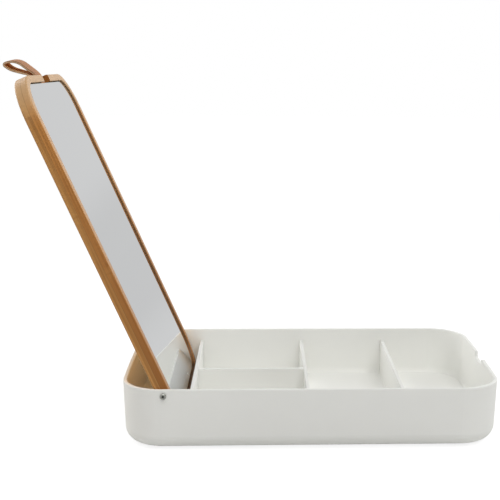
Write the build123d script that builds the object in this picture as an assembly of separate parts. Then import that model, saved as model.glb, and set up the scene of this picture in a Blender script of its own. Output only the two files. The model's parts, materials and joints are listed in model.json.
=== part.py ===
from build123d import *
import math
import os

# Vanity box with a hinged bamboo lid that carries a mirror.
# Frame: X runs along the box (hinge end at -X), Y across it, Z up; the origin is the centre of the
# feet's resting plane. Lid parts are drawn in lid axes (u, y, w): u runs from the pivot to the free
# end, w points out of the lid's outer face, and a closed lid has u along +X and w along +Z.

# ---- driving dimensions: box ---------------------------------------------------------------
BOX_LENGTH = 246.0           # over the middle of the bowed ends
BOX_WIDTH = 150.0
END_CROWN = 1.3              # how far the short ends bow out over the full width
BOX_HEIGHT = 40.0            # base face to rim
CORNER_RADIUS = 26.8         # plan corners at the rim
DRAFT = 1.8                  # degrees, walls lean in towards the base
WALL = 2.6
FLOOR = 2.6
BASE_FILLET = 9.0
RIM_ROUND = 0.7
NOTCH_HALF_WIDTH = 9.8       # strap notch in the rim at the free end
NOTCH_CORNER = 2.5
NOTCH_FLOOR_OUTER = 3.85     # below the rim, at the outer face
NOTCH_FLOOR_INNER = 4.85     # below the rim, at the inner face

# ---- feet ----------------------------------------------------------------------------------
FOOT_RADIUS = 4.5
FOOT_STAND = 1.0             # height that shows under the base
FOOT_SEAT = 0.4              # depth of the seat in the base
FOOT_SEAT_GAP = 0.2
FOOT_X = 98.0
FOOT_Y = 50.0

# ---- divider insert ------------------------------------------------------------------------
INSERT_GAP = 0.25            # to the box walls
INSERT_FLOOR = 2.8
RIB = 2.4
RIB_DROP = 8.6               # rim down to the rib tops
RIB_TOP_ROUND = 0.5
RIB_ROOT_ROUND = 1.5
BAY_RIB_X = -79.6            # hinge bay side of the end rib
CROSS_RIB_1_X = -3.4
CROSS_RIB_2_X = 59.3
LONG_RIB_Y = -2.4
STOP_DEPTH = 1.1
STOP_WIDTH = 3.0
STOP_HEIGHT = 17.0
STOP_Y = 35.0

# ---- lid -----------------------------------------------------------------------------------
LID_GAP = 0.8                # closed lid to the inner rim
LID_END_EASE = 0.5           # extra room for the lid's straight ends in the tray's bowed ones
LID_LENGTH = 237.5
LID_WIDTH = BOX_WIDTH - 2 * (WALL + LID_GAP)
LID_CORNER = 26.5            # a little rounder than the tray's inner corners
PLY = 4.25
LID_EDGE_ROUND = 1.1
SIDE_RAIL = 5.9              # rails of the ring round the mirror
END_RAIL = 4.8
TAIL_RAIL = 4.0
WINDOW_CORNER = 19.5
FRAME_INNER_ROUND = 0.3
PIVOT_X = -94.5
PIVOT_DROP = 4.0             # rim down to the pivot axis
OPEN_ANGLE = 113.6           # degrees between the closed and the open lid

# ---- mirror --------------------------------------------------------------------------------
MIRROR_RECESS = 1.35
MIRROR_THICKNESS = 1.8
MIRROR_GAP = 0.5
MIRROR_CHAMFER = 0.2
TAPE_LENGTH = 150.0
TAPE_WIDTH = 18.0
TAPE_PITCH = 42.0
TAPE_CENTRE_U = 80.0

# ---- strap ---------------------------------------------------------------------------------
STRAP_WIDTH = 17.0
STRAP_THICKNESS = 1.35
STRAP_TAIL = 17.5            # length of each leg inside the lid
STRAP_LEG_PITCH = 1.5
STRAP_FRONT_LEG_W = -0.08
CHANNEL_HALF_WIDTH = 9.0
CHANNEL_DEPTH = 2.15         # into the outer ply
CHANNEL_MOUTH = 0.9          # eased edge where the strap bends
BRAD_RADIUS = 0.6
BRAD_HEAD_RADIUS = 1.1
BRAD_HEAD = 0.25
BRAD_GRIP = 1.2              # length in the outer ply
BRAD_SPACING = 9.0
BRAD_INSET = 9.5             # behind the lid's free end

# ---- pivot screws --------------------------------------------------------------------------
SCREW_HEAD_RADIUS = 2.0
SCREW_HEAD_HEIGHT = 1.4
SCREW_SHANK_RADIUS = 1.1
SCREW_LENGTH = 9.5
SCREW_POINT = 1.6
SCREW_HEAD_OFF_WALL = 0.18   # under-head clearance on the wall's widest point
RECESS_SLOT = 0.7
RECESS_SPAN = 2.3
RECESS_DEPTH = 0.8
PIVOT_HOLE_CLEARANCE = 0.05
PILOT_CLEARANCE = 0.02
WASHER_RADIUS = 3.0
WASHER_THICKNESS = 0.35

# ---- worked-out levels ---------------------------------------------------------------------
BASE_Z = FOOT_STAND
RIM_Z = BASE_Z + BOX_HEIGHT
FLOOR_Z = BASE_Z + FLOOR
INSERT_TOP_Z = FLOOR_Z + INSERT_FLOOR
RIB_TOP_Z = RIM_Z - RIB_DROP
PIVOT_Z = RIM_Z - PIVOT_DROP
LEAN = math.tan(math.radians(DRAFT))
LID_TAIL = PIVOT_X + BOX_LENGTH / 2 - WALL - LID_GAP - LID_END_EASE
LID_END = LID_LENGTH - LID_TAIL
LID_CENTRE_U = LID_END - LID_LENGTH / 2

OPEN_LID = Location((PIVOT_X, 0, PIVOT_Z)) * Rotation(0, -OPEN_ANGLE, 0)


def span_box(x_span, y_span, z_span):
    """Box between two coordinates on each axis."""
    spans = (x_span, y_span, z_span)
    middle = [(low + high) / 2 for low, high in spans]
    size = [high - low for low, high in spans]
    return Pos(*middle) * Box(*size)


def rim_outline(inset):
    """Plan outline at the rim: straight long sides, gently bowed ends, round corners."""
    half_length, half_width = BOX_LENGTH / 2 - inset, BOX_WIDTH / 2 - inset
    corner_x = half_length - END_CROWN * (2 * half_width / BOX_WIDTH) ** 2
    sides = [Line((-x, y), (x, y)) for x, y in ((corner_x, half_width), (corner_x, -half_width))]
    ends = [
        ThreePointArc((x, half_width), (middle, 0), (x, -half_width))
        for x, middle in ((corner_x, half_length), (-corner_x, -half_length))
    ]
    outline = make_face(sides + ends)
    return fillet(outline.vertices(), CORNER_RADIUS - inset)


def tub(inset, bottom_z, bottom_fillet):
    """Drafted, round-cornered block below the rim, inset from the box's outer face."""
    rim_plane = Plane(origin=(0, 0, RIM_Z), x_dir=(1, 0, 0), z_dir=(0, 0, -1))
    block = extrude(rim_plane * rim_outline(inset), amount=RIM_Z - bottom_z, taper=DRAFT)
    lowest = block.faces().sort_by(Axis.Z)[0]
    return fillet(lowest.edges(), bottom_fillet)


def rim_notch():
    """Cutter for the strap notch; its floor rises towards the outside."""
    inner_x = BOX_LENGTH / 2 - WALL
    slope = (NOTCH_FLOOR_INNER - NOTCH_FLOOR_OUTER) / WALL
    start_x = inner_x - 6
    floor_z = RIM_Z - NOTCH_FLOOR_INNER - 6 * slope
    height = 20.0
    plane = Plane(origin=(start_x, 0, floor_z + height / 2), x_dir=(0, 1, 0), z_dir=(1, 0, 0))
    window = plane * Rectangle(2 * NOTCH_HALF_WIDTH, height)
    low_corners = window.vertices().group_by(Axis.Z)[0]
    return extrude(fillet(low_corners, NOTCH_CORNER), amount=16, dir=(1, 0, slope))


def box_shell():
    """The moulded tray: walls, base, strap notch, pivot holes and foot seats."""
    shell = tub(0, BASE_Z, BASE_FILLET) - tub(WALL, FLOOR_Z, BASE_FILLET - WALL) - rim_notch()
    notch_tops = shell.edges().filter_by(is_notch_top)
    shell = fillet(notch_tops, NOTCH_CORNER - RIM_ROUND)
    hole = Rot(90, 0, 0) * Cylinder(SCREW_SHANK_RADIUS + PIVOT_HOLE_CLEARANCE, BOX_WIDTH + 20)
    shell -= Pos(PIVOT_X, 0, PIVOT_Z) * hole
    seat = Cylinder(FOOT_RADIUS + FOOT_SEAT_GAP, 2 * FOOT_SEAT)
    for x, y in foot_places().values():
        shell -= Pos(x, y, BASE_Z) * seat
    rim_edges = shell.faces().filter_by(Axis.Z).sort_by(Axis.Z)[-1].edges()
    return fillet(rim_edges, RIM_ROUND)


def is_notch_top(edge):
    """True for the two short edges where the notch's sides meet the rim."""
    middle = edge @ 0.5
    across_wall = abs((edge % 0.5).X) > 0.99
    return across_wall and abs(abs(middle.Y) - NOTCH_HALF_WIDTH) < 0.1 and RIM_Z - middle.Z < 0.1


def foot_places():
    """Name and plan position of each foot."""
    places = {}
    for end, x in (("left", -FOOT_X), ("right", FOOT_X)):
        for side, y in (("front", -FOOT_Y), ("back", FOOT_Y)):
            places[f"foot_{side}_{end}"] = (x, y)
    return places


def foot(x, y):
    """A stick-on bumper, half sunk in its seat, with a rounded lower edge."""
    height = FOOT_STAND + FOOT_SEAT
    pad = Cylinder(FOOT_RADIUS, height)
    pad = fillet(pad.edges().group_by(Axis.Z)[0], 0.5)
    return Pos(x, y, height / 2) * pad


def divider_insert():
    """Drop-in floor with one end rib, two cross ribs, one long rib and two lid stops."""
    room = tub(WALL + INSERT_GAP, FLOOR_Z, BASE_FILLET - WALL)
    far = BOX_LENGTH
    wide = (-BOX_WIDTH, BOX_WIDTH)
    tall = (FLOOR_Z, RIB_TOP_Z)
    blank = span_box((BAY_RIB_X, far), wide, (FLOOR_Z, INSERT_TOP_Z))
    for x in (BAY_RIB_X, CROSS_RIB_1_X, CROSS_RIB_2_X):
        blank += span_box((x, x + RIB), wide, tall)
    blank += span_box((BAY_RIB_X, CROSS_RIB_1_X + RIB), (LONG_RIB_Y, LONG_RIB_Y + RIB), tall)
    roots = blank.edges().filter_by(is_rib_root)
    blank = fillet(roots, RIB_ROOT_ROUND)
    blank = fillet(blank.edges().filter_by(is_rib_top), RIB_TOP_ROUND)
    insert = room & blank
    for y in (-STOP_Y, STOP_Y):
        half = STOP_WIDTH / 2
        reach = (BAY_RIB_X - STOP_DEPTH, BAY_RIB_X + RIB / 2)
        insert += span_box(reach, (y - half, y + half), (FLOOR_Z, FLOOR_Z + STOP_HEIGHT))
    return insert


def is_rib_root(edge):
    """True for the inside corners where a rib stands on the insert's floor."""
    middle = edge @ 0.5
    on_floor = abs(middle.Z - INSERT_TOP_Z) < 0.01 and abs((edge % 0.5).Z) < 0.01
    return on_floor and middle.X > BAY_RIB_X + 0.1 and is_inside_blank(edge)


def is_rib_top(edge):
    """True for the edges of the ribs' top faces."""
    middle = edge @ 0.5
    return abs(middle.Z - RIB_TOP_Z) < 0.01 and abs((edge % 0.5).Z) < 0.01 and is_inside_blank(edge)


def is_inside_blank(edge):
    """True away from the oversize borders that the tray's shape trims off."""
    middle = edge @ 0.5
    return abs(middle.Y) < BOX_WIDTH - 1 and middle.X < BOX_LENGTH - 1


def lid_blank(low_w, high_w):
    """Round-cornered plate of the lid's outline between two of its levels."""
    outline = RectangleRounded(LID_LENGTH, LID_WIDTH, LID_CORNER)
    return Pos(LID_CENTRE_U, 0, low_w) * extrude(outline, amount=high_w - low_w)


def window_blank(low_w, high_w, inset=0.0):
    """Round-cornered plate that fills the ring's window, inset from its edge."""
    length = LID_LENGTH - TAIL_RAIL - END_RAIL - 2 * inset
    width = LID_WIDTH - 2 * SIDE_RAIL - 2 * inset
    outline = RectangleRounded(length, width, WINDOW_CORNER - inset)
    centre_u = LID_CENTRE_U + (TAIL_RAIL - END_RAIL) / 2
    return Pos(centre_u, 0, low_w) * extrude(outline, amount=high_w - low_w)


def pilot_bore():
    """Blind bores in the lid's long edges for the two pivot screws."""
    depth = SCREW_LENGTH - (BOX_WIDTH - LID_WIDTH) / 2 + 1
    bore = Rot(90, 0, 0) * Cylinder(SCREW_SHANK_RADIUS + PILOT_CLEARANCE, 2 * depth)
    return Pos(0, LID_WIDTH / 2, 0) * bore + Pos(0, -LID_WIDTH / 2, 0) * bore


def brad_places():
    """Lid-axis u and y of the two brads that hold the strap."""
    return [(LID_END - BRAD_INSET, side * BRAD_SPACING / 2) for side in (-1, 1)]


def lid_panel():
    """Outer ply: the lid's face, with the strap channel on its inner side."""
    panel = lid_blank(0, PLY)
    panel = fillet(panel.faces().sort_by(Axis.Z)[-1].edges(), LID_EDGE_ROUND)
    half = CHANNEL_HALF_WIDTH
    panel -= span_box((LID_END - STRAP_TAIL - 1, LID_END + 5), (-half, half), (-1, CHANNEL_DEPTH))
    panel = chamfer(panel.edges().filter_by(is_channel_mouth), CHANNEL_MOUTH)
    panel -= pilot_bore()
    for u, y in brad_places():
        depth = CHANNEL_DEPTH + BRAD_GRIP + 0.2
        panel -= Pos(u, y, 0) * Cylinder(BRAD_RADIUS + PILOT_CLEARANCE, 2 * depth)
    return panel


def is_channel_mouth(edge):
    """True for the edge between the strap channel's floor and the lid's free end."""
    middle = edge @ 0.5
    at_corner = abs(middle.X - LID_END) < 0.01 and abs(middle.Z - CHANNEL_DEPTH) < 0.01
    return at_corner and abs(middle.Y) < 0.1


def lid_frame():
    """Inner ply: a ring round the mirror, cut through where the strap leaves."""
    ring = lid_blank(-PLY, 0) - window_blank(-PLY, 0)
    front = ring.faces().sort_by(Axis.Z)[0]
    ring = fillet(front.outer_wire().edges(), LID_EDGE_ROUND)
    front = ring.faces().sort_by(Axis.Z)[0]
    ring = fillet(front.inner_wires()[0].edges(), FRAME_INNER_ROUND)
    half = CHANNEL_HALF_WIDTH
    ring -= span_box((LID_END - 2 * END_RAIL, LID_END + 5), (-half, half), (-PLY - 1, 1))
    return ring - pilot_bore()


def mirror_levels():
    """Front and back of the mirror glass, in lid axes."""
    front = -PLY + MIRROR_RECESS
    return front, front + MIRROR_THICKNESS


def mirror_glass():
    """Float-glass mirror with a small ground edge."""
    front, back = mirror_levels()
    glass = window_blank(front, back, inset=MIRROR_GAP)
    return chamfer(glass.faces().sort_by(Axis.Z)[0].edges(), MIRROR_CHAMFER)


def mirror_tape(row):
    """One foam strip between the glass and the outer ply; row is -1, 0 or 1."""
    _, back = mirror_levels()
    centre_y = row * TAPE_PITCH
    half = TAPE_LENGTH / 2
    span_u = (TAPE_CENTRE_U - half, TAPE_CENTRE_U + half)
    return span_box(span_u, (centre_y - TAPE_WIDTH / 2, centre_y + TAPE_WIDTH / 2), (back, 0))


def strap_loop():
    """Leather loop: two legs side by side in the lid, bent towards its outer face outside."""
    front_w = STRAP_FRONT_LEG_W
    back_w = front_w + STRAP_LEG_PITCH
    tail_u = LID_END - STRAP_TAIL
    route = [
        (tail_u, front_w),
        (LID_END + 1.8, front_w),
        (LID_END + 15.4, 7.6),
        (LID_END + 17.0, 16.9),
        (LID_END + 11.9, 13.6),
        (LID_END + 4.6, 4.75),
        (LID_END + 0.3, back_w),
        (tail_u, back_w),
    ]
    bends = [9.0, 10.0, 1.3, 12.0, 6.0, 3.0]
    centre = FilletPolyline(*[(u, 0, w) for u, w in route], radius=bends)
    section_plane = Plane(origin=centre @ 0, z_dir=centre % 0, x_dir=(0, 1, 0))
    section = section_plane * Rectangle(STRAP_WIDTH, STRAP_THICKNESS)
    strap = sweep(section, path=centre)
    for u, y in brad_places():
        strap -= Pos(u, y, 0) * Cylinder(BRAD_RADIUS + PIVOT_HOLE_CLEARANCE, 12)
    return strap


def strap_brad(u, y):
    """Headed nail through both strap legs into the outer ply."""
    head_low = STRAP_FRONT_LEG_W - STRAP_THICKNESS / 2 - BRAD_HEAD
    tip = CHANNEL_DEPTH + BRAD_GRIP
    shank = Cylinder(BRAD_RADIUS, tip - head_low, align=(Align.CENTER, Align.CENTER, Align.MIN))
    head = Cylinder(BRAD_HEAD_RADIUS, BRAD_HEAD, align=(Align.CENTER, Align.CENTER, Align.MIN))
    return Pos(u, y, head_low) * (shank + head)


def pivot_screw():
    """Pan-head screw along +Z: head at the top, point at the bottom, under-head face at z = 0."""
    dome = 0.55 * SCREW_HEAD_HEIGHT
    profile = make_face(
        Polyline(
            (0, -SCREW_LENGTH),
            (SCREW_SHANK_RADIUS, -SCREW_LENGTH + SCREW_POINT),
            (SCREW_SHANK_RADIUS, 0),
            (SCREW_HEAD_RADIUS, 0),
            (SCREW_HEAD_RADIUS, SCREW_HEAD_HEIGHT),
            (0, SCREW_HEAD_HEIGHT),
            close=True,
        )
    )
    screw = revolve(Plane.XZ * profile, Axis.Z)
    screw = fillet(screw.edges().sort_by(Axis.Z)[-1], dome)
    for turn in (0, 90):
        slot = Box(RECESS_SPAN, RECESS_SLOT, 2 * RECESS_DEPTH)
        screw -= Pos(0, 0, SCREW_HEAD_HEIGHT) * Rot(0, 0, turn) * slot
    return screw


def pivot_washer():
    """Thin nylon spacer, centred on its axis along Z."""
    ring = Cylinder(WASHER_RADIUS, WASHER_THICKNESS)
    return ring - Cylinder(SCREW_SHANK_RADIUS + PIVOT_HOLE_CLEARANCE, 2 * WASHER_THICKNESS)


def pivot_parts():
    """Screw and washer on each long side, in lid axes."""
    widest = BOX_WIDTH / 2 - (PIVOT_DROP - SCREW_HEAD_RADIUS) * LEAN
    under_head = widest + SCREW_HEAD_OFF_WALL
    washer_y = LID_WIDTH / 2 + WASHER_THICKNESS / 2
    parts = {}
    for side, sign in (("front", -1), ("back", 1)):
        outward = Rot(-90 * sign, 0, 0)
        parts[f"pivot_screw_{side}"] = Pos(0, sign * under_head, 0) * outward * pivot_screw()
        parts[f"pivot_washer_{side}"] = Pos(0, sign * washer_y, 0) * outward * pivot_washer()
    return parts


def fixed_parts():
    """Everything that stays on the table."""
    parts = {"box_shell": box_shell(), "divider_insert": divider_insert()}
    for name, (x, y) in foot_places().items():
        parts[name] = foot(x, y)
    return parts


def lid_parts():
    """Everything that swings with the lid, in lid axes."""
    parts = {
        "lid_panel": lid_panel(),
        "lid_frame": lid_frame(),
        "mirror_glass": mirror_glass(),
        "strap_loop": strap_loop(),
    }
    for name, row in (("front", -1), ("middle", 0), ("back", 1)):
        parts[f"mirror_tape_{name}"] = mirror_tape(row)
    for name, (u, y) in zip(("front", "back"), brad_places()):
        parts[f"strap_brad_{name}"] = strap_brad(u, y)
    parts.update(pivot_parts())
    return parts


def main():
    """Write one STEP file for each part, with the lid standing open."""
    os.makedirs("parts", exist_ok=True)
    for name, part in fixed_parts().items():
        export_step(part, f"parts/{name}.step")
    for name, part in lid_parts().items():
        export_step(OPEN_LID * part, f"parts/{name}.step")


main()
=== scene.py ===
"""Dresses the vanity tray and its mirror lid, and sets them on a pale studio floor."""
import json
import logging
import math
from collections.abc import Iterable, Sequence
from dataclasses import dataclass, field
from enum import Enum
from typing import Any

import bmesh
import bpy
from mathutils import Matrix, Vector


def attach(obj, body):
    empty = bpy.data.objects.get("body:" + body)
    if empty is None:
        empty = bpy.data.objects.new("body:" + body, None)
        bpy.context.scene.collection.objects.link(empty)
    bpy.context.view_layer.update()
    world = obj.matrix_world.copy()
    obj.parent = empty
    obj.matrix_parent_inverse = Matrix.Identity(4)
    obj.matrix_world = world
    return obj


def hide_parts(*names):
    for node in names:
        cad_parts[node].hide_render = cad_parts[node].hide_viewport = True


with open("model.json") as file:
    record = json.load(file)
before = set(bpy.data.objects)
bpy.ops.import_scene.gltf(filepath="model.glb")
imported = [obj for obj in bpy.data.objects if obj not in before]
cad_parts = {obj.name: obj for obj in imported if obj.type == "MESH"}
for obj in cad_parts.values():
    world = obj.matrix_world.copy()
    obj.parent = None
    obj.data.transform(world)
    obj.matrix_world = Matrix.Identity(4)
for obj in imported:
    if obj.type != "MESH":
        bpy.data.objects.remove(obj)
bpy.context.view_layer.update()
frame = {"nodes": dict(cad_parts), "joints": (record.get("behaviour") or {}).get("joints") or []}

LOG = logging.getLogger("vanity_tray")

MM = 0.001
PLY = 4.25 * MM
HINGE = frame["joints"][0]
PIVOT = Vector(HINGE["pos_m"])
OPEN_ANGLE = math.radians(HINGE["range_deg"][1])
LID_AXES = Matrix.Translation(PIVOT) @ Matrix.Rotation(-OPEN_ANGLE, 4, "Y")
LID_OUTWARD = LID_AXES.to_3x3() @ Vector((0.0, 0.0, 1.0))

Colour = tuple[float, float, float]
Point = tuple[float, float, float]
Span = tuple[float, float]
Node = bpy.types.Node
Socket = bpy.types.NodeSocket
Piece = bpy.types.Object


class Body(Enum):
    """The bodies that pieces ride on."""

    BOX = "box"
    LID = "lid"


class Side(Enum):
    """Places of parts across the tray's width."""

    FRONT = "front"
    MIDDLE = "middle"
    BACK = "back"


# Node graphs

# Sockets of a Mix node by number: its factor, its two colours and its result.
MIX_INPUTS = (0, 6, 7)
MIX_OUTPUT = 2


@dataclass(frozen=True)
class Graph:
    """Adds nodes to one material, world or group and wires them up.

    Attributes:
        tree: The node tree that is written to.
    """

    tree: bpy.types.NodeTree

    @classmethod
    def emptied(cls, owner: Any) -> "Graph":
        """Clear the nodes that a new material or world starts with.

        Args:
            owner: The material or world.

        Returns:
            Its empty graph.
        """
        owner.use_nodes = True
        owner.node_tree.nodes.clear()
        return cls(owner.node_tree)

    def add(self, kind: str, inputs: dict[Any, Any] | None = None, **settings: Any) -> Node:
        """Add one node.

        Args:
            kind: Blender's class name of the node.
            inputs: Value or source socket for each input, by name or number.
            settings: Properties of the node itself.

        Returns:
            The new node.
        """
        node = self.tree.nodes.new(kind)
        for name, value in settings.items():
            setattr(node, name, value)
        self.connect(node, inputs or {})
        return node

    def connect(self, node: Node, inputs: dict[Any, Any]) -> None:
        """Link sources to a node's inputs, or set them to constants.

        Args:
            node: The node.
            inputs: Value or source socket for each input, by name or number.
        """
        for key, value in inputs.items():
            socket = node.inputs[key]
            if isinstance(value, Socket):
                self.tree.links.new(value, socket)
            elif socket.type == "RGBA":
                socket.default_value = (*value, 1.0)
            else:
                socket.default_value = value

    def maths(self, operation: str, *values: Any) -> Socket:
        """Result of one step of arithmetic on numbers."""
        return self.add("ShaderNodeMath", dict(enumerate(values)), operation=operation).outputs[0]

    def vectors(self, operation: str, *values: Any) -> Any:
        """Outputs of one step of arithmetic on vectors."""
        inputs = dict(enumerate(values))
        return self.add("ShaderNodeVectorMath", inputs, operation=operation).outputs

    def stretched(self, vector: Any, scale: Point) -> Socket:
        """A vector scaled by its own factor on each axis."""
        return self.vectors("MULTIPLY", vector, scale)["Vector"]

    def split(self, vector: Any) -> Sequence[Socket]:
        """The three parts of a vector."""
        return self.add("ShaderNodeSeparateXYZ", {0: vector}).outputs

    def joined(self, *parts: Any) -> Socket:
        """A vector made of its parts."""
        return self.add("ShaderNodeCombineXYZ", dict(enumerate(parts))).outputs[0]

    def coordinate(self, name: str) -> Socket:
        """One of the texture coordinates, by name."""
        return self.add("ShaderNodeTexCoord").outputs[name]

    def rays(self, *names: str) -> Socket:
        """Tell some kinds of rays from the rest.

        Args:
            names: Their names, as Light Path gives them.

        Returns:
            A number that is 1 on those rays.
        """
        path = self.add("ShaderNodeLightPath").outputs
        share = path[names[0]]
        for name in names[1:]:
            share = self.maths("MAXIMUM", share, path[name])
        return share

    def step(self, value: Any, low: float, high: float) -> Socket:
        """Smooth way from 0 at low to 1 at high, which may be the smaller of the two."""
        inputs = {"Value": value, "From Min": low, "From Max": high}
        return self.add("ShaderNodeMapRange", inputs, interpolation_type="SMOOTHSTEP").outputs[0]

    def noise(self, vector: Any, scale: Any, detail: float = 3.0, rough: float = 0.5) -> Socket:
        """Grey noise between 0 and 1."""
        inputs = {"Vector": vector, "Scale": scale, "Detail": detail, "Roughness": rough}
        return self.add("ShaderNodeTexNoise", inputs).outputs["Fac"]

    def blend(self, share: Any, first: Any, second: Any) -> Socket:
        """Mix of two colours, with the share that the second one has."""
        inputs = dict(zip(MIX_INPUTS, (share, first, second)))
        return self.add("ShaderNodeMix", inputs, data_type="RGBA").outputs[MIX_OUTPUT]

    def tint(self, colour: Any, other: Any, mask: Any, share: Any) -> Socket:
        """A colour turned towards another by a share of a mask."""
        return self.blend(self.maths("MULTIPLY", mask, share), colour, other)


@dataclass(frozen=True)
class Effect:
    """A shader node group with named inputs and outputs, built once.

    Attributes:
        name: Name of the group.
        numbers: Number inputs with their default values.
        results: Names of the number outputs.
    """

    name: str
    numbers: dict[str, float]
    results: tuple[str, ...]

    def tree(self) -> bpy.types.NodeTree:
        """Build the group's tree on first use.

        Returns:
            The tree.
        """
        made = bpy.data.node_groups.get(self.name)
        if made:
            return made
        made = bpy.data.node_groups.new(self.name, "ShaderNodeTree")
        sockets = made.interface
        sockets.new_socket("Vector", in_out="INPUT", socket_type="NodeSocketVector")
        for name, default in self.numbers.items():
            socket = sockets.new_socket(name, in_out="INPUT", socket_type="NodeSocketFloat")
            socket.default_value = default
        for name in self.results:
            sockets.new_socket(name, in_out="OUTPUT", socket_type="NodeSocketFloat")
        graph = Graph(made)
        source = graph.add("NodeGroupInput").outputs
        graph.add("NodeGroupOutput", self.lay_out(graph, source))
        return made

    def lay_out(self, graph: Graph, source: Any) -> dict[Any, Socket]:
        """Lay out the group's nodes.

        Args:
            graph: The group's graph.
            source: The group's inputs.

        Returns:
            A socket for each output.
        """
        raise NotImplementedError

    def place(self, graph: Graph, vector: Any, **numbers: float) -> Any:
        """Use the group in a material.

        Args:
            graph: The material's graph.
            vector: Position on the piece, in metres.
            numbers: Values for its number inputs.

        Returns:
            The group node's outputs.
        """
        node = graph.add("ShaderNodeGroup", node_tree=self.tree())
        graph.connect(node, {"Vector": vector, **numbers})
        return node.outputs


class MouldedTexture(Effect):
    """Fine spark-eroded texture and soft flow marks of a moulded part."""

    FLOW = (9.0, 16.0, 24.0)
    CLOUDS = 55.0
    CLOUD_SHARE = 0.4

    def lay_out(self, graph: Graph, source: Any) -> dict[Any, Socket]:
        """Lay out the pits, the flow marks and the clouds.

        Args:
            graph: The group's graph.
            source: The group's inputs.

        Returns:
            A socket for each output.
        """
        vector = source["Vector"]
        pits = graph.noise(vector, source["Grain"], 4.0)
        flow = graph.noise(graph.stretched(vector, self.FLOW), 1.0, 2.0)
        clouds = graph.noise(vector, self.CLOUDS, 2.0)
        tone = graph.maths("MULTIPLY", flow, 1 - self.CLOUD_SHARE)
        return {"Tone": graph.maths("MULTIPLY_ADD", clouds, self.CLOUD_SHARE, tone), "Height": pits}


class LongGrain(Effect):
    """Pressed bamboo strips along X: fibres, strip tones, glue seams and knuckles."""

    FINE = (14.0, 1150.0, 1150.0)
    BROAD = (7.0, 420.0, 420.0)
    CLOUDS = (11.0, 60.0, 60.0)
    FIBRE_ROUGHNESS = 0.55
    FIBRE_SHARE = 0.74
    CLOUD_SHARE = 0.14
    STRIP_SHIFT = 0.9
    SEAM = 0.02
    KNUCKLE = 0.004
    HALO = 0.028
    WOBBLE = 0.006
    WOBBLE_SCALE = 300.0

    def lay_out(self, graph: Graph, source: Any) -> dict[Any, Socket]:
        """Lay out the strips, then the tone inside them and the lines between them.

        Args:
            graph: The group's graph.
            source: The group's inputs.

        Returns:
            A socket for each output.
        """
        along, across, through = graph.split(source["Vector"])
        strip = graph.maths("DIVIDE", across, source["Strip"])
        ply = graph.maths("FLOOR", graph.maths("DIVIDE", through, source["Ply"]))
        seed = graph.joined(graph.maths("FLOOR", strip), ply)
        random = graph.add("ShaderNodeTexWhiteNoise", {"Vector": seed}, noise_dimensions="3D")
        chance = random.outputs["Value"]
        shifted = graph.maths("MULTIPLY_ADD", chance, self.STRIP_SHIFT, along)
        moved = graph.joined(shifted, across, through)
        fine, broad = (
            graph.noise(graph.stretched(moved, scale), 1.0, 3.0, self.FIBRE_ROUGHNESS)
            for scale in (self.FINE, self.BROAD)
        )
        clouds = graph.noise(graph.stretched(moved, self.CLOUDS), 1.0, 2.0)
        fibres = graph.maths("MULTIPLY_ADD", fine, 0.5, graph.maths("MULTIPLY", broad, 0.5))
        tone = graph.maths("MULTIPLY", clouds, self.CLOUD_SHARE)
        tone = graph.maths("MULTIPLY_ADD", fibres, self.FIBRE_SHARE, tone)
        tone = graph.maths("MULTIPLY_ADD", chance, source["Strip Contrast"], tone)
        turn = graph.maths("DIVIDE", shifted, source["Knuckle Spacing"])
        wobble = graph.noise(source["Vector"], self.WOBBLE_SCALE, 1.0)
        turn = graph.maths("MULTIPLY_ADD", wobble, self.WOBBLE, turn)
        away = graph.maths("PINGPONG", turn, 0.5)
        return {
            "Tone": tone,
            "Seam": graph.step(graph.maths("PINGPONG", strip, 0.5), self.SEAM, 0.0),
            "Knuckle": graph.step(away, self.KNUCKLE, 0.0),
            "Halo": graph.step(away, self.HALO, self.KNUCKLE),
            "Height": fine,
        }


class Hide(Effect):
    """Pores and creases of vegetable-tanned leather."""

    CLOUDS = 140.0
    FUZZ = 2600.0

    def lay_out(self, graph: Graph, source: Any) -> dict[Any, Socket]:
        """Lay out the pores, the clouds and the loose fibre.

        Args:
            graph: The group's graph.
            source: The group's inputs.

        Returns:
            A socket for each output.
        """
        vector = source["Vector"]
        inputs = {"Vector": vector, "Scale": source["Pores"]}
        pores = graph.add("ShaderNodeTexVoronoi", inputs, feature="F1").outputs["Distance"]
        fuzz = graph.noise(vector, self.FUZZ, 3.0, 0.7)
        height = graph.maths("MULTIPLY_ADD", fuzz, source["Nap"], pores)
        return {"Tone": graph.noise(vector, self.CLOUDS, 4.0, 0.6), "Height": height}


class Handling(Effect):
    """Faint smears that change how sharply a smooth surface shines."""

    SMEARS = 18.0
    SHOWN = (0.45, 0.8)

    def lay_out(self, graph: Graph, source: Any) -> dict[Any, Socket]:
        """Spread the smears."""
        smear = graph.step(graph.noise(source["Vector"], self.SMEARS, 5.0, 0.65), *self.SHOWN)
        return {"Smear": graph.maths("MULTIPLY", smear, source["Strength"])}


MOULDED = MouldedTexture("Moulded Texture", {"Grain": 2400.0}, ("Tone", "Height"))
GRAIN = LongGrain(
    "Long Grain",
    {"Strip": 6.5 * MM, "Ply": PLY, "Strip Contrast": 0.1, "Knuckle Spacing": 230 * MM},
    ("Tone", "Seam", "Knuckle", "Halo", "Height"),
)
HIDE = Hide("Hide", {"Pores": 1500.0, "Nap": 0.3}, ("Tone", "Height"))
HANDLING = Handling("Handling", {"Strength": 0.05}, ("Smear",))


# Finishes


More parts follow.
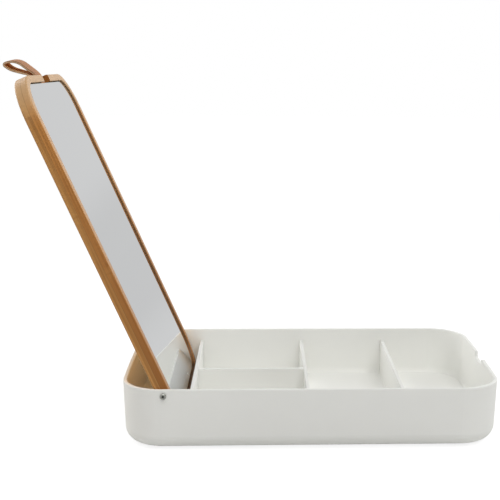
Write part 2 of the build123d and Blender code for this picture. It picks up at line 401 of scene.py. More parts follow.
@dataclass(frozen=True)
class Finish:
    """A procedural surface finish.

    Attributes:
        name: Name of the material.
        colour: Main colour, linear.
        roughness: Mean roughness.
        bump: Strength of the relief.
        relief: Height of the relief.
        unevenness: How much the roughness grows as the tone goes from 0 to 1.
    """

    name: str
    colour: Colour
    roughness: float
    bump: float = 0.2
    relief: float = 0.05 * MM
    unevenness: float = 0.0

    def material(self) -> bpy.types.Material:
        """Build the finish's material on first use.

        Returns:
            The material.
        """
        made = bpy.data.materials.get(self.name)
        if made:
            return made
        made = bpy.data.materials.new(self.name)
        graph = Graph.emptied(made)
        shader = graph.add("ShaderNodeBsdfPrincipled")
        graph.add("ShaderNodeOutputMaterial", {"Surface": shader.outputs["BSDF"]})
        self.shade(graph, shader, graph.coordinate("Object"))
        return made

    def shade(self, graph: Graph, shader: Node, place: Socket) -> None:
        """Wire the shader's inputs.

        Args:
            graph: The material's graph.
            shader: Its Principled BSDF.
            place: Object coordinates, in metres.
        """
        raise NotImplementedError

    def emboss(self, graph: Graph, shader: Node, height: Socket) -> None:
        """Turn a height between 0 and 1 into relief on the shader's normal."""
        inputs = {"Strength": self.bump, "Distance": self.relief, "Height": height}
        graph.connect(shader, {"Normal": graph.add("ShaderNodeBump", inputs).outputs["Normal"]})

    def rough(self, graph: Graph, tone: Socket) -> Socket:
        """Roughness that strays about its mean with a tone between 0 and 1."""
        least = self.roughness - self.unevenness / 2
        return graph.maths("MULTIPLY_ADD", tone, self.unevenness, least)

    def shades(self, factor: float) -> Colour:
        """The main colour times a factor."""
        red, green, blue = self.colour
        return red * factor, green * factor, blue * factor


@dataclass(frozen=True)
class Plastic(Finish):
    """Moulded plastic, rubber or nylon with a fine even texture.

    Attributes:
        grain: Texture grains per metre.
        variation: How far the tone strays either way.
        specular: Strength of the dielectric reflection.
        crest: Height above which faces that look up get painted shade, or 0 for none.
        top_shade: Brightness of that painted shade against the rest.
        upward: Upward parts of the normal between which the painted shade sets in.
    """

    unevenness: float = 0.12
    grain: float = 2400.0
    variation: float = 0.02
    specular: float = 0.5
    crest: float = 0.0
    top_shade: float = 0.9
    upward: Span = (0.1, 0.8)

    def shade(self, graph: Graph, shader: Node, place: Socket) -> None:
        """Wire the shader's inputs.

        Args:
            graph: The material's graph.
            shader: Its Principled BSDF.
            place: Object coordinates, in metres.
        """
        mould = MOULDED.place(graph, place, Grain=self.grain)
        low, high = self.shades(1 - self.variation), self.shades(1 + self.variation)
        colour = graph.blend(mould["Tone"], low, high)
        # Painted shade: faces that look up above the crest height are darkened, to tone down the
        # light on the rim and rib tops.
        if self.crest:
            facing = graph.step(graph.split(graph.coordinate("Normal"))[2], *self.upward)
            height = graph.step(graph.split(place)[2], self.crest - MM, self.crest)
            colour = graph.tint(colour, self.shades(self.top_shade), facing, height)
        rough = self.rough(graph, mould["Tone"])
        inputs = {"Base Color": colour, "Roughness": rough, "Specular IOR Level": self.specular}
        graph.connect(shader, inputs)
        self.emboss(graph, shader, mould["Height"])


@dataclass(frozen=True)
class Window:
    """Round-cornered opening in the lid's ring.

    Attributes:
        centre: Distance from the pivot to its middle.
        half_length: Half its length.
        half_width: Half its width.
        corner: Radius of its corners.
    """

    centre: float
    half_length: float
    half_width: float
    corner: float


@dataclass(frozen=True)
class Bamboo(Finish):
    """Caramelised, oiled bamboo with its grain along the lid.

    Attributes:
        light: Colour of the palest fibres.
        dark: Colour of the darkest fibres and the knuckles.
        tones: Tones of the darkest, the main and the palest colour.
        lit_end: Colour of painted light on the free end.
        lit_face: Colour of painted light on the ply's broad face.
        lit_face_share: Share of that painted light at the free end.
        lit_face_hinge_shade: How much of the share is lost towards the hinge end, as painted shade.
        outer: Whether that face is the lid's outer one.
        thrown: Colour of the light that the bamboo throws on its neighbours.
        end: Where the free end lies.
        lit_end_reach: Distances from the free end between which its painted light sets in.
        hinge_shade: How much painted shade darkens the colour towards the hinge end.
        glue: Distances from the glue line between the plies over which it fades.
        window: The mirror window, if the piece has one.
        window_edge_shade: Colour of painted shade on the window's cut edge, darkest next to the
            glass.
        slot_edge_shade: Colour of painted shade on the strap slot's cut edge.
        slot_half: Half width of the slot.
        edge_shade_reach: Distances from a cut edge over which its painted shade fades.
        tail_shade: Colour of painted shade on the tail, which sits in a narrow gap in the tray.
        tail_shade_start: Where along the lid the tail's painted shade begins.
        tail_shade_fade: Length over which that painted shade sets in.
        coat: Strength of the oil's own gloss.
    """

    LINES = {"Seam": (0.2, 0.8), "Knuckle": (0.3, 0.9)}
    HALO_SHARE = 0.12
    LIT_END_SHARE = 0.93
    LIT_FACE_TURN = (0.6, 0.95)
    GLUE_SHARES = (0.35, 0.3)
    GLUE_SHADE = 0.3
    ARRIS_SHARE = 0.15
    TAIL_SHADE_ROUGHNESS = 0.5

    unevenness: float = -0.16
    light: Colour = (0.68, 0.37, 0.11)
    dark: Colour = (0.27, 0.095, 0.014)
    tones: Point = (0.28, 0.52, 0.76)
    lit_end: Colour = (0.62, 0.385, 0.19)
    lit_face: Colour = (0.80, 0.45, 0.16)
    lit_face_share: float = 0.65
    lit_face_hinge_shade: float = 0.65
    outer: bool = True
    thrown: Colour = (0.96, 0.60, 0.27)
    end: float = 212.9 * MM
    lit_end_reach: Span = (32 * MM, 6 * MM)
    hinge_shade: float = 0.1
    glue: Span = (0.34 * MM, 0.06 * MM)
    window: Window | None = None
    window_edge_shade: Colour = (0.17, 0.09, 0.04)
    slot_edge_shade: Colour = (0.32, 0.12, 0.022)
    slot_half: float = 0.0
    edge_shade_reach: Span = (0.28 * MM, 0.04 * MM)
    tail_shade: Colour = (0.05, 0.028, 0.013)
    tail_shade_start: float = -16.5 * MM
    tail_shade_fade: float = 6 * MM
    coat: float = 0.12

    def shade(self, graph: Graph, shader: Node, place: Socket) -> None:
        """Wire the shader's inputs.

        Args:
            graph: The material's graph.
            shader: Its Principled BSDF.
            place: Object coordinates, in metres.
        """
        inputs = {"Vector": place, "Location": PIVOT, "Rotation": (0.0, -OPEN_ANGLE, 0.0)}
        turned = graph.add("ShaderNodeMapping", inputs, vector_type="TEXTURE").outputs[0]
        grain = GRAIN.place(graph, turned)
        axes = graph.split(turned)
        along, _, through = axes
        # Painted light: the free end is paled towards its lit colour.
        lit_end_mask = graph.step(along, *(self.end - distance for distance in self.lit_end_reach))
        colour = self.fibres(graph, grain, along)
        colour = graph.tint(colour, self.lit_end, lit_end_mask, self.LIT_END_SHARE)
        colour = self.surfaced(graph, colour, along, through)
        rough = self.rough(graph, grain["Tone"])
        coat: Any = self.coat
        if self.window:
            # Painted shade: the tail is darkened almost to black, and loses its gloss, where it
            # sits in the narrow gap in the tray.
            tail_shade_mask = graph.step(along, self.tail_shade_start, self.tail_shade_start - self.tail_shade_fade)
            # Painted shade: the window's cut edge, the slot's cut edge and the tail are darkened in
            # turn.
            masks = (*self.shaded_cut_edges(graph, axes, self.window), tail_shade_mask)
            for mask, darker in zip(masks, (self.window_edge_shade, self.slot_edge_shade, self.tail_shade)):
                colour = graph.blend(mask, colour, darker)
            coat = graph.maths("MULTIPLY_ADD", tail_shade_mask, -self.coat, self.coat)
            rough = graph.maths("MULTIPLY_ADD", tail_shade_mask, self.TAIL_SHADE_ROUGHNESS, rough)
        graph.connect(shader, {
            "Base Color": graph.blend(graph.rays("Is Diffuse Ray"), colour, self.thrown),
            "Roughness": rough,
            "Specular IOR Level": 0.3,
            "Coat Weight": coat,
            "Coat Roughness": 0.25,
        })
        relief = grain["Height"]
        for line, (_, depth) in self.LINES.items():
            relief = graph.maths("MULTIPLY_ADD", grain[line], -depth, relief)
        away_from_lit_end = graph.maths("SUBTRACT", 1.0, lit_end_mask)
        self.emboss(graph, shader, graph.maths("MULTIPLY", relief, away_from_lit_end))

    def fibres(self, graph: Graph, grain: Any, along: Socket) -> Socket:
        """Colour the fibres, the seams and the knuckles.

        Args:
            graph: The material's graph.
            grain: Outputs of the grain group.
            along: Distance along the lid.

        Returns:
            The colour.
        """
        ramp = graph.add("ShaderNodeValToRGB", {"Fac": grain["Tone"]})
        stops = ramp.color_ramp.elements
        stops.new(self.tones[2])
        for stop, tone, colour in zip(stops, self.tones, (self.dark, self.colour, self.light)):
            stop.position = tone
            stop.color = (*colour, 1.0)
        # Painted shade: the colour darkens towards the hinge end, which sits down in the tray.
        near_hinge = graph.step(along, self.end * 0.95, 0.0)
        colour = graph.tint(ramp.outputs["Color"], self.dark, near_hinge, self.hinge_shade)
        colour = graph.tint(colour, self.light, grain["Halo"], self.HALO_SHARE)
        for line, (share, _) in self.LINES.items():
            colour = graph.tint(colour, self.dark, grain[line], share)
        return colour

    def surfaced(self, graph: Graph, colour: Socket, along: Socket, through: Socket) -> Socket:
        """Lay painted light on the broad face, fading into painted shade towards the hinge end, and
        the glue line over the fibres.

        Args:
            graph: The material's graph.
            colour: Colour of the fibres.
            along: Distance along the lid.
            through: Distance from the glue line.

        Returns:
            The colour.
        """
        # Painted light: the broad face is paled, less so towards the hinge end, where the loss
        # stands for shade.
        outward = LID_OUTWARD if self.outer else -LID_OUTWARD
        facing = graph.vectors("DOT_PRODUCT", graph.coordinate("Normal"), tuple(outward))["Value"]
        face = graph.maths("MULTIPLY", graph.step(facing, *self.LIT_FACE_TURN), self.lit_face_share)
        near_hinge = graph.step(along, self.end * 0.9, 0.0)
        kept = graph.maths("MULTIPLY_ADD", near_hinge, -self.lit_face_hinge_shade, 1.0)
        colour = graph.tint(colour, self.lit_face, face, kept)
        glue = graph.step(graph.maths("ABSOLUTE", through), *self.glue)
        least, rise = self.GLUE_SHARES
        share = graph.maths("MULTIPLY_ADD", graph.step(along, 150 * MM, 0.0), rise, least)
        return graph.tint(colour, self.shades(self.GLUE_SHADE), glue, share)

    def shaded_cut_edges(self, graph: Graph, axes: Sequence[Socket], window: Window) -> Sequence[Socket]:
        """Find the cut edges that get painted shade.

        Args:
            graph: The material's graph.
            axes: Distances along, across and through the lid.
            window: The mirror window.

        Returns:
            Two numbers that are 1 on the window's edge and on the strap slot's.
        """
        along, across, through = axes
        offsets = []
        for value, centre, half in (
            (along, window.centre, window.half_length),
            (across, 0.0, window.half_width),
        ):
            away = graph.maths("ABSOLUTE", graph.maths("SUBTRACT", value, centre))
            offsets.append(graph.maths("SUBTRACT", away, half - window.corner))
        squares = [
            graph.maths("POWER", graph.maths("MAXIMUM", offset, 0.0), 2.0) for offset in offsets
        ]
        reach = graph.maths("SQRT", graph.maths("ADD", *squares))
        inside = graph.maths("MINIMUM", graph.maths("MAXIMUM", *offsets), 0.0)
        distance = graph.maths("SUBTRACT", graph.maths("ADD", reach, inside), window.corner)
        # Painted shade in the window's recess: deepest next to the glass, lighter at the front
        # arris.
        depth = graph.step(through, 0.4 * MM - PLY, 1.3 * MM - PLY)
        share = graph.maths("MULTIPLY_ADD", depth, 1 - self.ARRIS_SHARE, self.ARRIS_SHARE)
        round_window = graph.maths("MULTIPLY", graph.step(distance, *self.edge_shade_reach), share)
        beside = graph.maths("SUBTRACT", graph.maths("ABSOLUTE", across), self.slot_half)
        at_end = graph.step(along, window.centre, window.centre + window.half_length)
        in_slot = graph.maths("MULTIPLY", graph.step(beside, *self.edge_shade_reach), at_end)
        return round_window, in_slot


@dataclass(frozen=True)
class Leather(Finish):
    """One face of a vegetable-tanned strap.

    Attributes:
        nap: Share of loose fibre in the relief.
        shadow: Colour of the darker clouds.
    """

    CLOUDS = (0.3, 0.7)

    unevenness: float = 0.14
    nap: float = 0.1
    shadow: Colour = (0.4, 0.17, 0.08)

    def shade(self, graph: Graph, shader: Node, place: Socket) -> None:
        """Wire the shader's inputs.

        Args:
            graph: The material's graph.
            shader: Its Principled BSDF.
            place: Object coordinates, in metres.
        """
        hide = HIDE.place(graph, place, Nap=self.nap)
        clouds = graph.step(hide["Tone"], *self.CLOUDS)
        colour = graph.blend(clouds, self.shadow, self.colour)
        rough = self.rough(graph, clouds)
        graph.connect(shader, {"Base Color": colour, "Roughness": rough, "Specular IOR Level": 0.3})
        self.emboss(graph, shader, hide["Height"])


@dataclass(frozen=True)
class Metal(Finish):
    """Bare or plated metal, also the silvering of a mirror.

    Attributes:
        smears: How much handling marks add to the roughness.
        scratches: Scratches per metre of the relief.
        throws_light: Whether it lights what stands in front of it, as a mirror does.
        drive_shade_radius: Radius of painted shade for a recess in the middle of the head, round
            the pivot's line, or 0 for none.
    """

    SMEAR_SHADE = 0.86
    SMEAR_SHARE = 0.6
    DRIVE_SHADE = 0.12
    BRUSHING = (1.0, 0.15, 1.0)

    smears: float = 0.05
    scratches: float = 900.0
    throws_light: bool = False
    drive_shade_radius: float = 0.0

    def shade(self, graph: Graph, shader: Node, place: Socket) -> None:
        """Wire the shader's inputs.

        Args:
            graph: The material's graph.
            shader: Its Principled BSDF.
            place: Object coordinates, in metres.
        """
        smear = HANDLING.place(graph, place, Strength=self.smears)["Smear"]
        colour = graph.tint(self.colour, self.shades(self.SMEAR_SHADE), smear, self.SMEAR_SHARE)
        # Painted shade: a dark round patch stands for the shaded recess in the screw head.
        if self.drive_shade_radius:
            offset = graph.vectors("SUBTRACT", place, tuple(PIVOT))["Vector"]
            away = graph.vectors("LENGTH", graph.stretched(offset, (1.0, 0.0, 1.0)))["Value"]
            recess = graph.step(away, self.drive_shade_radius, self.drive_shade_radius / 2)
            colour = graph.blend(recess, colour, self.shades(self.DRIVE_SHADE))
        metallic: Any = 1.0
        if self.throws_light:
            metallic = graph.maths("SUBTRACT", 1.0, graph.rays("Is Diffuse Ray"))
        rough = graph.maths("ADD", smear, self.roughness)
        graph.connect(shader, {"Base Color": colour, "Roughness": rough, "Metallic": metallic})
        if self.bump:
            brushed = graph.noise(graph.stretched(place, self.BRUSHING), self.scratches)
            self.emboss(graph, shader, brushed)


# Studio


@dataclass(frozen=True)
class Lamp:
    """One soft square lamp.

    Attributes:
        name: Name of the lamp.
        place: Where it hangs, in metres.
        size: Length of its sides in metres.
        power: Its power in watts.
        target: The point that it faces.
        mirrored: Whether a gloss or a mirror shows it.
    """

    name: str
    place: Point
    size: float
    power: float
    target: Point = (0.0, 0.0, 0.0)
    mirrored: bool = True

    def hang(self) -> None:
        """Hang the lamp in the scene."""
        light = bpy.data.lights.new(self.name, "AREA")
        light.size, light.energy = self.size, self.power
        lamp = bpy.data.objects.new(self.name, light)
        lamp.visible_glossy = self.mirrored
        bpy.context.scene.collection.objects.link(lamp)
        away = Vector(self.place) - Vector(self.target)
        turn = away.to_track_quat("Z", "Y").to_matrix().to_4x4()
        lamp.matrix_world = Matrix.Translation(self.place) @ turn


@dataclass(frozen=True)
class Studio:
    """Pale floor, white surround, soft lamps and the camera.

    Attributes:
        lamps: The lamps.
        ambient: Brightness of the surround on the object's surfaces.
        reflected: Brightness of the surround in a reflection.
        reflected_horizon: The same at the horizon.
        horizon: Height of a direction at which the horizon's band ends.
        floor_radius: Radius of the floor in metres.
        floor_colour: Colour of the floor as it lights the object.
        floor_matt: How much of the floor's shown tone takes light and shadow.
        floor_speckle: How much of that tone is noise.
        floor_glow: How much of the floor's shown tone is steady.
        floor_rise: How much the steady tone grows with the distance.
        floor_fade: Distances in metres between which it grows and the shadow goes.
        floor_reflected: Brightness of the floor in a reflection.
        camera_place: Where the camera stands, in metres.
        yaw: Its turn to the right, in degrees.
        pitch: Its tilt below the horizon, in degrees.
        roll: Its roll, in degrees.
        clip: Nearest and farthest distance in sight, in metres.
        image_size: Width of the square picture in pixels.
        focal_pixels: Focal length in pixels.
        axis_pixel: Where the lens axis meets the picture, from its upper left corner.
    """

    lamps: tuple[Lamp, ...] = (
        Lamp("Overhead Lamp", (0.25, -0.9, 1.55), 1.4, 15.6),
        Lamp("Right Rear Lamp", (1.3, 0.8, 0.95), 1.4, 14.8, mirrored=False),
        Lamp("Left Rear Lamp", (-1.35, 0.8, 0.6), 1.2, 13.2, target=(-0.1, 0.0, 0.05)),
    )
    ambient: float = 0.26
    reflected: float = 0.67
    reflected_horizon: float = 0.615
    horizon: float = 0.05
    floor_radius: float = 4.0
    floor_colour: Colour = (0.84, 0.84, 0.83)
    floor_matt: float = 0.28
    floor_speckle: float = 0.02
    floor_glow: float = 0.84
    floor_rise: float = 0.18
    floor_fade: Span = (0.35, 1.1)
    floor_reflected: float = 0.60
    camera_place: Point = (-0.034452, -0.68289, 0.242398)
    yaw: float = 3.147
    pitch: float = 10.7051
    roll: float = 0.6576
    clip: Span = (0.01, 50.0)
    image_size: float = 500.0
    focal_pixels: float = 1008.98
    axis_pixel: Span = (313.798, 254.798)

    def build(self) -> None:
        """Make the floor, the surround, the lamps and the camera."""
        self.floor()
        self.surround()
        for lamp in self.lamps:
            lamp.hang()
        self.camera()
        bpy.context.scene.view_settings.view_transform = "Standard"

    def shown(self, graph: Graph) -> Socket:
        """A number that is 1 on rays from the camera, a gloss or a clear piece."""
        return graph.rays("Is Camera Ray", "Is Glossy Ray", "Is Transmission Ray")

    def dimmed(self, graph: Graph, level: Any) -> Socket:
        """A factor that is 1 on most rays and the given level in a reflection."""
        reflection = graph.rays("Is Glossy Ray", "Is Transmission Ray")
        return graph.maths("MULTIPLY_ADD", reflection, graph.maths("SUBTRACT", level, 1.0), 1.0)

    def surround(self) -> None:
        """White to look at, and softer as a source of light."""
        world = bpy.data.worlds.new("Surround")
        bpy.context.scene.world = world
        graph = Graph.emptied(world)
        level = graph.maths("MULTIPLY_ADD", self.shown(graph), 1.0 - self.ambient, self.ambient)
        rise = graph.step(graph.split(graph.coordinate("Generated"))[2], 0.0, self.horizon)
        low = self.reflected_horizon
        reflected = graph.maths("MULTIPLY_ADD", rise, self.reflected - low, low)
        level = graph.maths("MULTIPLY", level, self.dimmed(graph, reflected))
        glow = graph.add("ShaderNodeBackground", {"Color": (1.0, 1.0, 1.0), "Strength": level})
        graph.add("ShaderNodeOutputWorld", {"Surface": glow.outputs[0]})

    def floor(self) -> None:
        """Round floor that shows white and keeps the object's soft shadow."""
        mesh = bmesh.new()
        bmesh.ops.create_circle(mesh, cap_ends=True, segments=96, radius=self.floor_radius)
        piece = finished("studio_floor", mesh, [self.floor_material()])

    def floor_material(self) -> bpy.types.Material:
        """Make a matt white that glows a little to rays that show it.

        Returns:
            The material.
        """
        made = bpy.data.materials.new("Studio Floor")
        graph = Graph.emptied(made)
        place = graph.coordinate("Object")
        far = graph.step(graph.vectors("LENGTH", place)["Value"], *self.floor_fade)
        dimmed = self.dimmed(graph, self.floor_reflected)
        speckle = graph.noise(place, 40.0)
        tone = graph.maths("MULTIPLY_ADD", speckle, self.floor_speckle, self.floor_matt)
        tone = graph.maths("MULTIPLY", tone, graph.maths("SUBTRACT", 1.0, far))
        tone = graph.maths("MULTIPLY", tone, dimmed)
        grey = graph.add("ShaderNodeCombineColor", {0: tone, 1: tone, 2: tone}).outputs[0]
        matt = graph.add("ShaderNodeBsdfDiffuse", {"Color": grey})
        level = graph.maths("MULTIPLY_ADD", far, self.floor_rise, self.floor_glow)
        level = graph.maths("MULTIPLY", level, dimmed)
        glow = graph.add("ShaderNodeEmission", {"Color": (1.0, 1.0, 1.0), "Strength": level})
        seen = graph.add("ShaderNodeAddShader", {0: matt.outputs[0], 1: glow.outputs[0]})
        plain = graph.add("ShaderNodeBsdfDiffuse", {"Color": self.floor_colour})
        shaders = {0: self.shown(graph), 1: plain.outputs[0], 2: seen.outputs[0]}
        mixed = graph.add("ShaderNodeMixShader", shaders)
        graph.add("ShaderNodeOutputMaterial", {"Surface": mixed.outputs[0]})
        return made

    def camera(self) -> None:
        """Stand the camera at the viewing place."""
        data = bpy.data.cameras.new("Camera")
        data.sensor_width = 36.0
        data.lens = self.focal_pixels * data.sensor_width / self.image_size
        middle = self.image_size / 2
        data.shift_x = (middle - self.axis_pixel[0]) / self.image_size
        data.shift_y = (self.axis_pixel[1] - middle) / self.image_size
        data.clip_start, data.clip_end = self.clip
        camera = bpy.data.objects.new("Camera", data)
        bpy.context.scene.collection.objects.link(camera)
        level = Matrix.Rotation(-math.radians(self.yaw), 4, "Z")
        tilt = Matrix.Rotation(math.pi / 2 - math.radians(self.pitch), 4, "X")
        roll = Matrix.Rotation(math.radians(self.roll), 4, "Z")
        camera.matrix_world = Matrix.Translation(self.camera_place) @ level @ tilt @ roll
        bpy.context.scene.camera = camera


# Mesh tools


def finished(name: str, mesh: bmesh.types.BMesh, materials: Iterable[bpy.types.Material],
             smooth: bool = False) -> Piece:
    """Turn a worked mesh into an object at the origin.

    Args:
        name: Name of the piece.
        mesh: The worked mesh, which is freed.
        materials: Its materials, in the order of its faces' numbers.
        smooth: Whether its faces are shaded smooth.

    Returns:
        The new object.
    """
    data = bpy.data.meshes.new(name)
    for face in mesh.faces:
        face.smooth = smooth
    mesh.to_mesh(data)
    mesh.free()
    for material in materials:
        data.materials.append(material)
    piece = bpy.data.objects.new(name, data)
    bpy.context.scene.collection.objects.link(piece)
    return piece


def dress(node: str, finish: Finish) -> None:
    """Give a CAD node its finish.

    Args:
        node: Name of the node.
        finish: The finish that it gets.
    """
    piece = frame["nodes"][node]
    if not piece.material_slots:
        piece.data.materials.append(None)
    for slot in piece.material_slots:
        slot.material = finish.material()
    LOG.info("dressed %s in %s", node, finish.name)


def carry(piece: Piece, body: Body, node: str) -> None:
    """Let a new piece stand for a CAD node on its body.

    Args:
        piece: The new piece.
        body: The body that it rides on.
        node: The node that it replaces.
    """
    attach(piece, body.value)
    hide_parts(node)
    LOG.info("built %s for %s", piece.name, node)


# Sub-assemblies

WARM_WHITE: Colour = (0.90, 0.90, 0.865)


@dataclass
class Tray:
    """Moulded tray with its compartment insert and feet.

    Attributes:
        shell: Finish of the tray.
        insert: Finish of the compartment insert.
        foot: Finish of the feet.
    """

    # The crest heights give painted shade to the tops of the tray's rim and the insert's ribs.
    shell: Finish = Plastic("Tray Plastic", WARM_WHITE, 0.5, bump=0.16, relief=0.04 * MM,
                            specular=0.1, crest=35.5 * MM, top_shade=0.965)
    insert: Finish = Plastic("Insert Plastic", WARM_WHITE, 0.5, bump=0.16, relief=0.04 * MM,
                             specular=0.08, crest=31 * MM)
    foot: Finish = Plastic("Foot Silicone", (0.55, 0.55, 0.53), 0.55, grain=1500.0)

    def build(self) -> None:
        """Dress the tray's nodes."""
        dress("box_shell", self.shell)
        dress("divider_insert", self.insert)
        for side in (Side.FRONT, Side.BACK):
            for end in ("left", "right"):
                dress(f"foot_{side.value}_{end}", self.foot)


@dataclass
class Lid:
    """Two bamboo plies: the outer panel and the ring round the mirror.

    Attributes:
        tail: How far the lid reaches behind the pivot.
        length: Length of the lid.
        width: Width of the lid.
        side_rail: Width of the ring's long rails.
        end_rail: Width of its rail at the free end.
        tail_rail: Width of its rail at the hinge end.
        window_corner: Radius of the corners of the ring's window.
        slot_half: Half width of the strap slot.
    """

    tail: float = 24.6 * MM
    length: float = 237.5 * MM
    width: float = 143.2 * MM
    side_rail: float = 5.9 * MM
    end_rail: float = 4.8 * MM
    tail_rail: float = 4.0 * MM
    window_corner: float = 19.5 * MM
    slot_half: float = 9 * MM

    @property
    def end(self) -> float:
        """Distance from the pivot to the free end."""
        return self.length - self.tail

    def window(self, inset: float = 0.0) -> Window:
        """Measure the ring's window.

        Args:
            inset: How much smaller it is taken on every side.

        Returns:
            The window.
        """
        low, high = self.tail_rail - self.tail, self.end - self.end_rail
        return Window(
            centre=(low + high) / 2,
            half_length=(high - low) / 2 - inset,
            half_width=self.width / 2 - self.side_rail - inset,
            corner=self.window_corner - inset,
        )

    def build(self) -> None:
        """Dress the two plies."""
        dress("lid_panel", Bamboo(
            "Panel Bamboo", (0.58, 0.285, 0.080), 0.42, bump=0.25, end=self.end
        ))
        # The ring's broad face gets a paler painted light, and its colour gets painted shade
        # towards the hinge end.
        dress("lid_frame", Bamboo(
            "Frame Bamboo", (0.58, 0.25, 0.058), 0.42, bump=0.25, end=self.end,
            lit_face=(0.66, 0.45, 0.275), outer=False, hinge_shade=0.7,
            window=self.window(), slot_half=self.slot_half,
        ))


@dataclass
class Mirror:
    """Float-glass mirror and the tape behind it.

    Attributes:
        lid: The lid that it sits in.
        silver: Finish of the reflecting face.
        edge: Finish of the ground glass edge.
        paint: Finish of the painted back.
        tape: Finish of the foam tape.
        gap: Gap between the glass and the ring.
        recess: How far the glass lies below the ring's face.
        thickness: Thickness of the glass.
        bevel: Width of the ground bevel.
    """

    lid: Lid
    silver: Finish = Metal("Silvered Glass", (0.845, 0.86, 0.87), 0.012, bump=0.0, smears=0.03,
                           throws_light=True)
    edge: Finish = Plastic("Ground Edge", (0.42, 0.50, 0.47), 0.35, grain=1800.0)
    paint: Finish = Plastic("Backing Paint", (0.10, 0.11, 0.11), 0.5, grain=1200.0)
    tape: Finish = Plastic("Foam Tape", (0.78, 0.78, 0.75), 0.85, grain=900.0, bump=0.5)
    gap: float = 0.5 * MM
    recess: float = 1.35 * MM
    thickness: float = 1.8 * MM
    bevel: float = 0.2 * MM

    def build(self) -> None:
        """Make the glass and dress the tape."""
        carry(self.glass(), Body.LID, "mirror_glass")
        for side in Side:
            dress(f"mirror_tape_{side.value}", self.tape)

    def glass(self) -> Piece:
        """Make a round-cornered pane with a bevelled front edge and a painted back.

        Returns:
            The pane.
        """
        pane = self.lid.window(self.gap)
        mesh = bmesh.new()
        bmesh.ops.create_grid(mesh, x_segments=1, y_segments=1, size=0.5)
        scale = (2 * pane.half_length, 2 * pane.half_width, 1.0)
        bmesh.ops.scale(mesh, vec=scale, verts=mesh.verts)
        bmesh.ops.bevel(
            mesh, geom=list(mesh.verts), offset=pane.corner, affect="VERTICES", segments=20,
            profile=0.5, material=-1,
        )
        made = bmesh.ops.extrude_face_region(mesh, geom=list(mesh.faces))
        raised = [item for item in made["geom"] if isinstance(item, bmesh.types.BMVert)]
        bmesh.ops.translate(mesh, vec=(0.0, 0.0, self.thickness), verts=raised)
        bmesh.ops.recalc_face_normals(mesh, faces=list(mesh.faces))
        middle = self.thickness / 2
        low = [edge for edge in mesh.edges if all(vert.co.z < middle for vert in edge.verts)]
        bmesh.ops.bevel(
            mesh, geom=low, offset=self.bevel, affect="EDGES", segments=1, profile=0.5,
            material=-1,
        )
        for face in mesh.faces:
            face.normal_update()
            tilt = face.normal.z
            face.material_index = 0 if tilt < -0.99 else 2 if tilt > 0.99 else 1
        move = LID_AXES @ Matrix.Translation((pane.centre, 0.0, self.recess - PLY))
        bmesh.ops.transform(mesh, matrix=move, verts=mesh.verts)
        finishes = (self.silver, self.edge, self.paint)
        return finished("mirror_pane", mesh, [finish.material() for finish in finishes])


@dataclass(frozen=True)
class Bend:
    """A corner of the strap's route, in millimetres.

    Attributes:
        past_end: Distance past the lid's free end.
        rise: Height towards the lid's outer face.
        radius: Radius of the bend.
    """

    past_end: float
    rise: float
    radius: float = 0.0


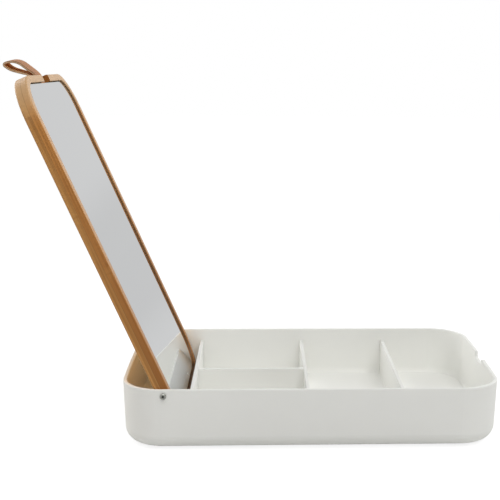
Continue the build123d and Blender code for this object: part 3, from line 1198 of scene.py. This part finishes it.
@dataclass
class PullStrap:
    """Leather pull loop and the brads that hold its two legs.

    Attributes:
        lid_end: Where the lid's free end lies.
        grain: Finish of the outer face.
        flesh: Finish of the inner face.
        cut: Finish of the cut edges.
        burnish: Finish of the eased corners.
        brad: Finish of the brads.
        width: Width of the strap.
        thickness: Thickness of the leather.
        easing: Width of the eased corners.
        crown: How far the middle of the strap bulges.
        lean: How much farther out the loop reaches at its back than at its front.
        across: Number of steps across it.
        pace: Longest step along it on the straight.
        bend_pace: Turn of one step in a bend, in degrees.
        route: The centre line's corners.
    """

    lid_end: float
    grain: Finish = Leather("Leather Grain Side", (0.50, 0.235, 0.105), 0.52, bump=0.3,
                            relief=0.12 * MM, shadow=(0.36, 0.155, 0.065))
    flesh: Finish = Leather("Leather Flesh Side", (0.80, 0.44, 0.15), 0.85, bump=0.6,
                            relief=0.15 * MM, shadow=(0.66, 0.34, 0.11), nap=0.9)
    cut: Finish = Leather("Leather Cut Edge", (0.60, 0.42, 0.26), 0.6, bump=0.4,
                          relief=0.1 * MM, shadow=(0.44, 0.28, 0.16), nap=0.6)
    burnish: Finish = Leather("Burnished Edge", (0.20, 0.10, 0.05), 0.5,
                              relief=0.1 * MM, shadow=(0.14, 0.065, 0.03))
    brad: Finish = Metal("Brad Steel", (0.6, 0.6, 0.59), 0.3)
    width: float = 17 * MM
    thickness: float = 1.35 * MM
    easing: float = 0.28 * MM
    crown: float = 0.12 * MM
    lean: float = 1.2 * MM
    across: int = 10
    pace: float = 1.5 * MM
    bend_pace: float = 6.0
    route: Sequence[Bend] = field(default_factory=lambda: (
        Bend(-17.5, -0.08),
        Bend(1.8, -0.08, 9.0),
        Bend(15.1, 7.6, 10.0),
        Bend(16.7, 16.5, 1.2),
        Bend(11.3, 13.7, 14.0),
        Bend(4.4, 4.95, 6.0),
        Bend(0.3, 1.42, 3.0),
        Bend(-17.5, 1.42),
    ))

    def build(self) -> None:
        """Make the loop and dress the brads."""
        carry(self.loop(), Body.LID, "strap_loop")
        for side in (Side.FRONT, Side.BACK):
            dress(f"strap_brad_{side.value}", self.brad)

    def loop(self) -> Piece:
        """Shape the drawn strip, then thicken it and ease its corners.

        Returns:
            The loop.
        """
        mesh = self.strip()
        for vert in mesh.verts:
            share = 2 * vert.co.y / self.width
            past = min(max((vert.co.x - self.lid_end) / self.width * 2, 0.0), 1.0)
            vert.co += vert.normal * self.crown * (1 - share * share)
            vert.co.x += self.lean * share / 2 * past * past * (3 - 2 * past)
        bmesh.ops.transform(mesh, matrix=LID_AXES, verts=mesh.verts)
        finishes = (self.grain, self.flesh, self.cut, self.burnish)
        materials = [finish.material() for finish in finishes]
        piece = finished("leather_loop", mesh, materials, smooth=True)
        wall = piece.modifiers.new("Thickness", "SOLIDIFY")
        wall.thickness = self.thickness
        wall.offset = 0.0
        wall.use_even_offset = True
        wall.material_offset = finishes.index(self.flesh)
        wall.material_offset_rim = finishes.index(self.cut)
        ease = piece.modifiers.new("Eased Edges", "BEVEL")
        ease.width = self.easing
        ease.segments = 3
        ease.material = finishes.index(self.burnish)
        ease.limit_method = "ANGLE"
        ease.angle_limit = math.radians(60)
        return piece

    def strip(self) -> bmesh.types.BMesh:
        """Draw the strap's middle layer along the route, in the lid's own axes.

        Returns:
            The strip, without thickness.
        """
        points = [
            Vector((self.lid_end + bend.past_end * MM, 0.0, bend.rise * MM)) for bend in self.route
        ]
        mesh = bmesh.new()
        ends = [
            mesh.verts.new((points[0].x, self.width * (index / self.across - 0.5), points[0].z))
            for index in range(self.across + 1)
        ]
        front: Sequence[Any] = [mesh.edges.new(pair) for pair in zip(ends, ends[1:])]
        used = 0.0
        for before, corner, after, bend in zip(points, points[1:], points[2:], self.route[1:]):
            arriving, leaving = (corner - before).normalized(), (after - corner).normalized()
            turn = arriving.angle(leaving)
            sign = 1.0 if arriving.cross(leaving).y > 0 else -1.0
            tangent = bend.radius * MM * math.tan(turn / 2)
            straight = (corner - before).length - used - tangent
            front = self.advance(mesh, front, arriving * straight)
            inward = Vector((arriving.z, 0.0, -arriving.x)) * sign
            centre = corner - arriving * tangent + inward * bend.radius * MM
            made = bmesh.ops.spin(
                mesh, geom=front, cent=centre, axis=(0.0, sign, 0.0), angle=turn,
                steps=max(3, round(math.degrees(turn) / self.bend_pace)),
                use_duplicate=False, use_merge=False,
            )
            front = [item for item in made["geom_last"] if isinstance(item, bmesh.types.BMEdge)]
            used = tangent
        last = points[-1] - points[-2]
        self.advance(mesh, front, last - last.normalized() * used)
        bmesh.ops.recalc_face_normals(mesh, faces=list(mesh.faces))
        mesh.normal_update()
        return mesh

    def advance(self, mesh: bmesh.types.BMesh, edges: Sequence[Any], move: Vector) -> Sequence[Any]:
        """Extrude a row of edges.

        Args:
            mesh: The mesh being worked.
            edges: The row of edges.
            move: How far and which way it goes.

        Returns:
            The new row of edges.
        """
        steps = max(1, round(move.length / self.pace))
        for _ in range(steps):
            made = bmesh.ops.extrude_edge_only(mesh, edges=list(edges))["geom"]
            verts = [item for item in made if isinstance(item, bmesh.types.BMVert)]
            edges = [
                item for item in made
                if isinstance(item, bmesh.types.BMEdge) and all(end in verts for end in item.verts)
            ]
            bmesh.ops.translate(mesh, vec=move / steps, verts=verts)
        return edges


@dataclass
class Pivots:
    """The two pan-head screws that the lid turns on, with their washers.

    Attributes:
        screw: Finish of the screws.
        washer: Finish of the washers.
    """

    # The screws get painted shade at the middle of the head for its recess.
    screw: Finish = Metal("Screw Steel", (0.42, 0.425, 0.39), 0.26, bump=0.12, smears=0.1,
                          drive_shade_radius=1.0 * MM)
    washer: Finish = Plastic("Washer Nylon", (0.74, 0.74, 0.70), 0.4)

    def build(self) -> None:
        """Dress the screws and washers."""
        for side in (Side.FRONT, Side.BACK):
            dress(f"pivot_screw_{side.value}", self.screw)
            dress(f"pivot_washer_{side.value}", self.washer)


def main() -> None:
    """Build each sub-assembly, then the studio."""
    logging.basicConfig(level=logging.INFO, format="%(name)s: %(message)s")
    lid = Lid()
    for assembly in (Tray(), lid, Mirror(lid), PullStrap(lid.end), Pivots(), Studio()):
        assembly.build()
        LOG.info("finished %s", type(assembly).__name__)


if __name__ == "__main__":
    main()
